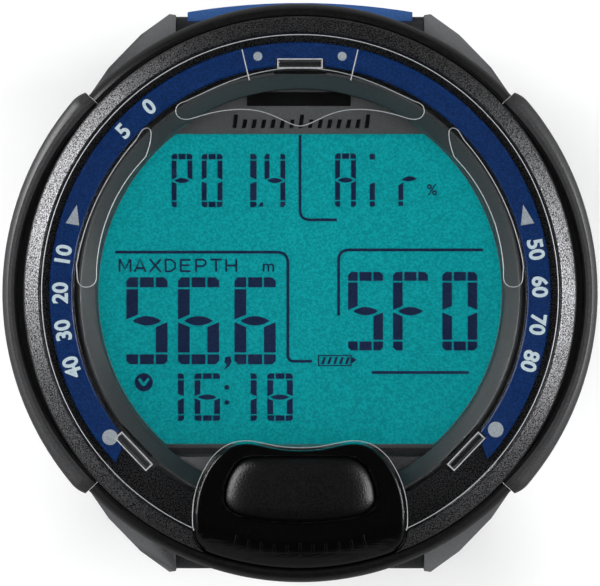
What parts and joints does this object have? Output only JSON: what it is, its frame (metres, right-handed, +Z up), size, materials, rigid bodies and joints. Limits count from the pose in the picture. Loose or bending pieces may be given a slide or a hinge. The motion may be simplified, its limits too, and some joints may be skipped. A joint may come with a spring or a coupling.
{
  "type": "dive computer",
  "caption": "Round wrist dive computer with a clip-on clear shield, a single front key, side grips, a screw-in battery cap and a buckled rubber strap.",
  "frame": {"origin": "centre of the strap's flat foot on the surface, straight below the dial's centre", "axes": "+Z up and out of the dial, +Y towards 12 o'clock on the dial, +X towards 3 o'clock"},
  "size_m": [0.066, 0.0646, 0.0659],
  "materials": {
    "case_plastic": "satin black moulded case",
    "bumper_rubber": "smooth black rubber bumper",
    "grip_plastic": "polished dark grey grips",
    "bezel_plastic": "fine sparkling texture",
    "trim_blue": "deep blue trim with white printing",
    "frame_grey": "dark grey display surround",
    "shield_clear": "clear clip-on shield",
    "window_glass": "clear front window",
    "key_plastic": "glossy black key surround",
    "pad_plastic": "satin black key pad",
    "stainless": "satin stainless steel",
    "battery_steel": "plated steel cell",
    "seal_rubber": "black seal rubber",
    "lcd_teal": "reflective teal display",
    "white_plastic": "white diffusing plastic",
    "board_green": "green circuit board",
    "chip_black": "black chip resin",
    "brass_plate": "brass disc and contact",
    "strap_rubber": "matt black strap",
    "strap_blue": "blue inlay on the strap's end",
    "buckle_steel": "dark satin steel buckle"
  },
  "bodies": {
    "module": {"main_case": "case_plastic", "bumper_ring_upper": "bumper_rubber", "bumper_ring_lower": "bumper_rubber", "side_grip_right": "grip_plastic", "side_grip_left": "grip_plastic", "top_bezel": "bezel_plastic", "trim_ring": "trim_blue", "display_frame": "frame_grey", "front_window": "window_glass", "window_gasket": "seal_rubber", "display_mask": "frame_grey", "key_surround": "key_plastic", "key_seal": "seal_rubber", "key_spring": "stainless", "lcd_panel": "lcd_teal", "light_guide": "white_plastic", "contact_strip_upper": "seal_rubber", "contact_strip_lower": "seal_rubber", "circuit_board": "board_green", "key_switch": "stainless", "processor_chip": "chip_black", "clock_crystal": "stainless", "buzzer_disc": "brass_plate", "pressure_sensor": "stainless", "battery_tray": "white_plastic", "coin_battery": "battery_steel", "battery_contact_upper": "brass_plate", "rear_cover": "case_plastic", "rear_seal": "seal_rubber", "sensor_grille": "stainless", "case_screw_1": "stainless", "case_screw_2": "stainless", "case_screw_3": "stainless", "case_screw_4": "stainless", "strap_pin_upper": "stainless", "strap_pin_lower": "stainless"},
    "key": {"key_pad": "pad_plastic", "key_stem": "stainless", "key_circlip": "stainless"},
    "shield": {"clear_shield": "shield_clear"},
    "cap_thread": {"battery_cap_seal": "seal_rubber"},
    "cap": {"battery_cap": "key_plastic"},
    "strap_upper": {"strap_upper": "strap_rubber", "strap_accent": "strap_blue", "buckle_pin": "stainless"},
    "strap_lower": {"strap_lower": "strap_rubber"},
    "keeper": {"keeper_loop": "strap_rubber"},
    "buckle": {"buckle_frame": "buckle_steel"},
    "tongue": {"buckle_tongue": "buckle_steel"}
  },
  "joints": [
    {"name": "key_press", "type": "slide", "parent": "module", "child": "key", "axis": [0, 0, -1], "range_m": [0, 0.0012], "stiffness_N_per_m": 1200, "springref_m": -0.001, "deforming": ["key_spring"]},
    {"name": "shield_lift", "type": "slide", "parent": "module", "child": "shield", "axis": [0, 0, 1], "range_m": [0, 0.01]},
    {"name": "cap_lift", "type": "slide", "parent": "module", "child": "cap_thread", "axis": [0, 0, -1], "range_m": [0, 0.003]},
    {"name": "cap_turn", "type": "hinge", "parent": "cap_thread", "child": "cap", "pos_m": [0, 0, 0.042], "axis": [0, 0, -1], "range_deg": [0, 720]},
    {"name": "strap_upper_swing", "type": "hinge", "parent": "module", "child": "strap_upper", "pos_m": [0, 0.028, 0.0479], "axis": [1, 0, 0], "range_deg": [0, 75]},
    {"name": "strap_lower_swing", "type": "hinge", "parent": "module", "child": "strap_lower", "pos_m": [0, -0.028, 0.0479], "axis": [1, 0, 0], "range_deg": [-80, 0]},
    {"name": "keeper_slide", "type": "slide", "parent": "strap_upper", "child": "keeper", "axis": [0, 0, 1], "range_m": [0, 0.012]},
    {"name": "buckle_swing", "type": "hinge", "parent": "strap_upper", "child": "buckle", "pos_m": [0, 0.0272, 0.0155], "axis": [1, 0, 0], "range_deg": [-5, 60]},
    {"name": "tongue_swing", "type": "hinge", "parent": "buckle", "child": "tongue", "pos_m": [0, 0.0272, 0.0155], "axis": [1, 0, 0], "range_deg": [0, 40]}
  ],
  "couplings": [
    {"joint": "cap_lift", "follows": "cap_turn", "m_per_rad": 0.00023873}
  ]
}
